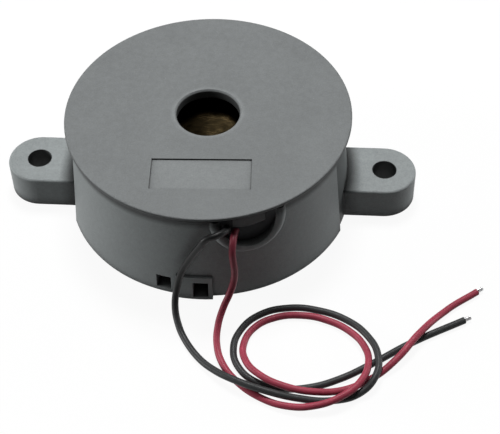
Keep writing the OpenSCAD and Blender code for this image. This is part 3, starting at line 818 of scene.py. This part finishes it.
def capacitor_material():
    """Blue sleeve with a pale stripe and dashes, and a scored aluminium top."""
    material, graph, sockets = new_material("capacitor_sleeve")
    body = lacquered(graph, (0.015, 0.035, 0.12), gloss=0.3)
    low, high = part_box("capacitor")
    at = graph.axes(graph.shifted(graph.place(), middle("capacitor")))
    radius = (high.x - low.x) / 2
    stripe = graph.below(at["X"], -STRIPE_PLACE * radius)
    beat = graph.math("PINGPONG", at["Z"], DASH_PITCH / 2)
    dash = graph.times(graph.below(beat, DASH_WIDTH / 2), graph.within(at["Y"], DASH_LENGTH / 2))
    pale = graph.blend(dash, (0.5, 0.52, 0.55, 1), (0.02, 0.03, 0.08, 1))
    body["Color"] = graph.blend(stripe, body["Color"], pale)
    lid = graph.times(
        graph.above(at["Z"], (high.z - low.z) / 2 - LID_DEPTH),
        graph.below(graph.off_axis(middle("capacitor")), radius - LID_EDGE),
    )
    leg = graph.below(at["Z"], board_top() + WIRE_LIFT - middle("capacitor").z)
    join_leaded(graph, sockets, body, graph.math("MAXIMUM", lid, leg))
    return material


def transistor_material():
    """Black moulded epoxy on three wires."""
    material, graph, sockets = new_material("epoxy_black")
    body = use_effect(graph, "moulded", {
        "Color": (0.022, 0.022, 0.024, 1), "Gloss": 0.42,
        "Grain": 0.15 * MM, "Depth": 0.008 * MM, "Edge": 0.08 * MM,
    })
    wire = graph.below(graph.axes(graph.place())["Z"], board_top() + TRANSISTOR_LIFT)
    join_leaded(graph, sockets, body, wire)
    return material


def ferrite_material():
    """Dark sintered ferrite on two wires."""
    material, graph, sockets = new_material("ferrite")
    body = use_effect(graph, "moulded", {
        "Color": (0.04, 0.04, 0.043, 1), "Gloss": 0.6,
        "Grain": 0.1 * MM, "Depth": 0.01 * MM, "Edge": 0.15 * MM,
    })
    wire = graph.below(graph.axes(graph.place())["Z"], board_top() + WIRE_LIFT)
    join_leaded(graph, sockets, body, wire)
    return material


def winding_material():
    """Enamelled copper wire, wound turn beside turn, with painted shade between the turns."""
    material, graph, sockets = new_material("winding_copper", metallic=1.0, coat_weight=0.5)
    surface = use_effect(graph, "metal", {
        "Color": (0.62, 0.24, 0.09, 1), "Stain": (0.25, 0.08, 0.03, 1),
        "Stained": 0.4, "Gloss": 0.28,
    })
    height = graph.axes(graph.place())["Z"]
    turns = graph.math("SINE", graph.times(height, 2 * math.pi / WIRE_PITCH))
    join_surface(graph, sockets, surface)
    # Painted shade in the grooves between turns, and a little painted light on their crowns
    groove_shade = graph.spread(turns, -1, 1, 0.45, 1.1)
    graph.feed(sockets["Base Color"], graph.shade(surface["Color"], groove_shade))
    graph.feed(sockets["Normal"], graph.bump(turns, WIRE_GROOVE, surface["Normal"]))
    return material


class BUZZER_OT_board(bpy.types.Operator):
    """Finish the circuit board, the parts on it and the wires that run up from it"""

    bl_idname = "buzzer.board"
    bl_label = "Circuit board"

    def execute(self, context):
        finish_node("circuit_board", board_material())
        finish_node("transistor", transistor_material())
        finish_node("inductor_core", ferrite_material())
        finish_node("inductor_winding", winding_material())
        sleeve = sheath_material("shrink_sleeve", (0.015, 0.015, 0.016), gloss=0.35)
        finish_node("inductor_sleeve", sleeve)
        finish_node("capacitor", capacitor_material())
        finish_node("diode", diode_material())
        for node, bands in RESISTOR_BANDS.items():
            finish_node(node, resistor_material(f"{node}_lacquer", node, bands))
        for node, color in WIRE_COLORS.items():
            finish_node(node, sheath_material(f"{node}_insulation", color, gloss=0.35))
        return {"FINISHED"}


# ---------------------------------------------------------------- Leads
def new_curve(name, diameter, material):
    """An empty curve object that is drawn as a round rod."""
    curve = bpy.data.curves.new(name, "CURVE")
    curve.dimensions = "3D"
    curve.bevel_depth = diameter / 2
    curve.bevel_resolution = 4
    curve.use_fill_caps = True
    curve.materials.append(material)
    piece = bpy.data.objects.new(name, curve)
    bpy.context.scene.collection.objects.link(piece)
    return piece


def lead_curve(name, route, diameter, material):
    """A lead as one smooth curve through its route, which nowhere dips below the floor."""
    piece = new_curve(name, diameter, material)
    piece.data.resolution_u = 10
    spline = piece.data.splines.new("BEZIER")
    spline.bezier_points.add(len(route) - 1)
    for point, place in zip(spline.bezier_points, route):
        point.co = Vector(place) * MM
        point.handle_left_type = point.handle_right_type = "AUTO"
    for point in spline.bezier_points:
        before, after = point.handle_left.copy(), point.handle_right.copy()
        point.handle_left_type = point.handle_right_type = "FREE"
        for handle in (before, after):
            handle.z = max(handle.z, diameter / 2)
        point.handle_left, point.handle_right = before, after
    return piece


def stranded_core(name, route, leads, material):
    """Twisted strands past the end of a lead, in line with its last stretch."""
    strand = leads.core_diameter / 3
    piece = new_curve(name, strand, material)
    start = Vector(route[-1]) * MM
    along = Vector(route[-1]) - Vector(route[-2])
    along = Vector((along.x, along.y, 0)).normalized()
    across = Vector((-along.y, along.x, 0))
    up = Vector((0, 0, 1))
    for number in range(STRANDS):
        spline = piece.data.splines.new("POLY")
        spline.points.add(STRAND_STEPS)
        for step, point in enumerate(spline.points):
            reach = leads.bare_length * (step / STRAND_STEPS * (1 + STRAND_TUCK) - STRAND_TUCK)
            turn = 2 * math.pi * (number / (STRANDS - 1) + reach / STRAND_TWIST)
            aside = 0 if number == STRANDS - 1 else strand
            place = start + along * reach + (across * math.cos(turn) + up * math.sin(turn)) * aside
            point.co = (*place, 1)
    return piece


def lead_material(name, color, shade_kept):
    """A lead's insulation, in painted shade from its exit down to near the floor."""
    material, graph, sockets = new_material(name, specular=LEAD_SPECULAR)
    surface = use_effect(graph, "sheath", {"Color": (*color, 1), "Gloss": LEAD_GLOSS})
    join_surface(graph, sockets, surface)
    # Painted shade on the lead, darkest high up by its exit
    exit_shade = graph.spread(graph.axes(graph.place())["Z"], *SHEATH_SHADE_HEIGHTS, 1.0, shade_kept)
    graph.feed(sockets["Base Color"], graph.shade(surface["Color"], exit_shade))
    return material


class BUZZER_OT_leads(bpy.types.Operator):
    """Lay the two leads along their routes, with their bare ends"""

    bl_idname = "buzzer.leads"
    bl_label = "Leads"

    def execute(self, context):
        leads = context.scene.buzzer_leads
        tinned = metal_material("strand_tin", *TINNED)
        for color, (route, length) in LEADS.items():
            sheath = lead_material(f"{color}_sheath", getattr(leads, color), SHEATH_KEPT[color])
            piece = lead_curve(f"{color}_lead_soft", route, leads.diameter, sheath)
            core = stranded_core(f"{color}_core", route, leads, tinned)
            parts = ((piece, "lead", f"{color}_insulation"), (core, "lead_tip", "solder"))
            for made, node, slot in parts:
                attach(made, "root")
                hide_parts(f"{color}_{node}")
        return {"FINISHED"}


# ---------------------------------------------------------------- Stage
def finish_floor():
    """Pale floor: white to the camera and in reflections, with part of its true shade left in."""
    material, graph, sockets = new_material("floor_white")
    tree = material.node_tree
    path = graph.add("LightPath").outputs
    seen = graph.math("MAXIMUM", path["Is Camera Ray"], path["Is Glossy Ray"])
    mottle = graph.vary(graph.noise(graph.place(), FLOOR_MOTTLE), 0.98, 1.02)
    pale = graph.blend(seen, (*FLOOR_BOUNCE, 1), (*FLOOR_COLOR, 1))
    graph.feed(sockets["Base Color"], graph.shade(pale, mottle))
    sockets["Roughness"].default_value = FLOOR_ROUGHNESS
    share = graph.times(seen, FLOOR_GLOW_SHARE)
    glow = graph.add("Emission", {"Strength": FLOOR_GLOW})
    plain = tree.nodes["Principled BSDF"]
    mixed = graph.add("MixShader", {0: share, 1: plain.outputs[0], 2: glow.outputs[0]})
    graph.feed(tree.nodes["Material Output"].inputs["Surface"], mixed.outputs[0])
    return material


def add_lamp(name, place, aim, size, power):
    """A square soft lamp at a place, turned to its aim."""
    lamp = bpy.data.objects.new(name, bpy.data.lights.new(name, "AREA"))
    lamp.data.size = size
    lamp.data.energy = power
    lamp.location = place
    lamp.rotation_euler = (Vector(aim) - Vector(place)).to_track_quat("-Z", "Y").to_euler()
    bpy.context.scene.collection.objects.link(lamp)


class BUZZER_OT_stage(bpy.types.Operator):
    """Set up the camera, the floor and the lamps"""

    bl_idname = "buzzer.stage"
    bl_label = "Stage"

    def execute(self, context):
        scene = context.scene
        stage = scene.buzzer_stage
        scene.view_settings.view_transform = "Standard"
        camera = bpy.data.objects.new("camera", bpy.data.cameras.new("camera"))
        camera.location = stage.camera_place
        camera.rotation_euler = stage.camera_turn
        camera.data.lens = stage.lens
        camera.data.clip_start = 0.01
        scene.collection.objects.link(camera)
        scene.camera = camera

        bpy.ops.mesh.primitive_plane_add(size=FLOOR_SIZE)
        floor = context.object
        floor.name = "floor"
        floor.data.materials.append(finish_floor())

        for name, place, aim, size in LAMPS:
            add_lamp(name, place, aim, size, getattr(stage, f"{name}_power"))
        scene.world = bpy.data.worlds.new("studio")
        scene.world.use_nodes = True
        background = scene.world.node_tree.nodes["Background"]
        background.inputs["Color"].default_value = (1, 1, 1, 1)
        background.inputs["Strength"].default_value = stage.room_light
        return {"FINISHED"}


STEPS = (BUZZER_OT_case, BUZZER_OT_element, BUZZER_OT_board, BUZZER_OT_leads, BUZZER_OT_stage)


# ---------------------------------------------------------------- Add-on
class BUZZER_PT_panel(bpy.types.Panel):
    """Lists the settings and the steps in the sidebar"""

    bl_label = "Buzzer"
    bl_idname = "BUZZER_PT_panel"
    bl_space_type = "VIEW_3D"
    bl_region_type = "UI"
    bl_category = "Buzzer"

    def draw(self, context):
        for name, settings in SETTINGS.items():
            box = self.layout.box()
            box.label(text=settings.__doc__)
            for setting in settings.__annotations__:
                box.prop(getattr(context.scene, name), setting)
        for step in STEPS:
            self.layout.operator(step.bl_idname)


def register():
    for cls in (*SETTINGS.values(), *STEPS, BUZZER_PT_panel):
        bpy.utils.register_class(cls)
    for name, cls in SETTINGS.items():
        setattr(bpy.types.Scene, name, PointerProperty(type=cls))


def unregister():
    for name in SETTINGS:
        delattr(bpy.types.Scene, name)
    for cls in (BUZZER_PT_panel, *STEPS, *SETTINGS.values()):
        bpy.utils.unregister_class(cls)


def main():
    register()
    for step in STEPS:
        group, call = step.bl_idname.split(".")
        getattr(getattr(bpy.ops, group), call)()


if __name__ == "__main__":
    main()
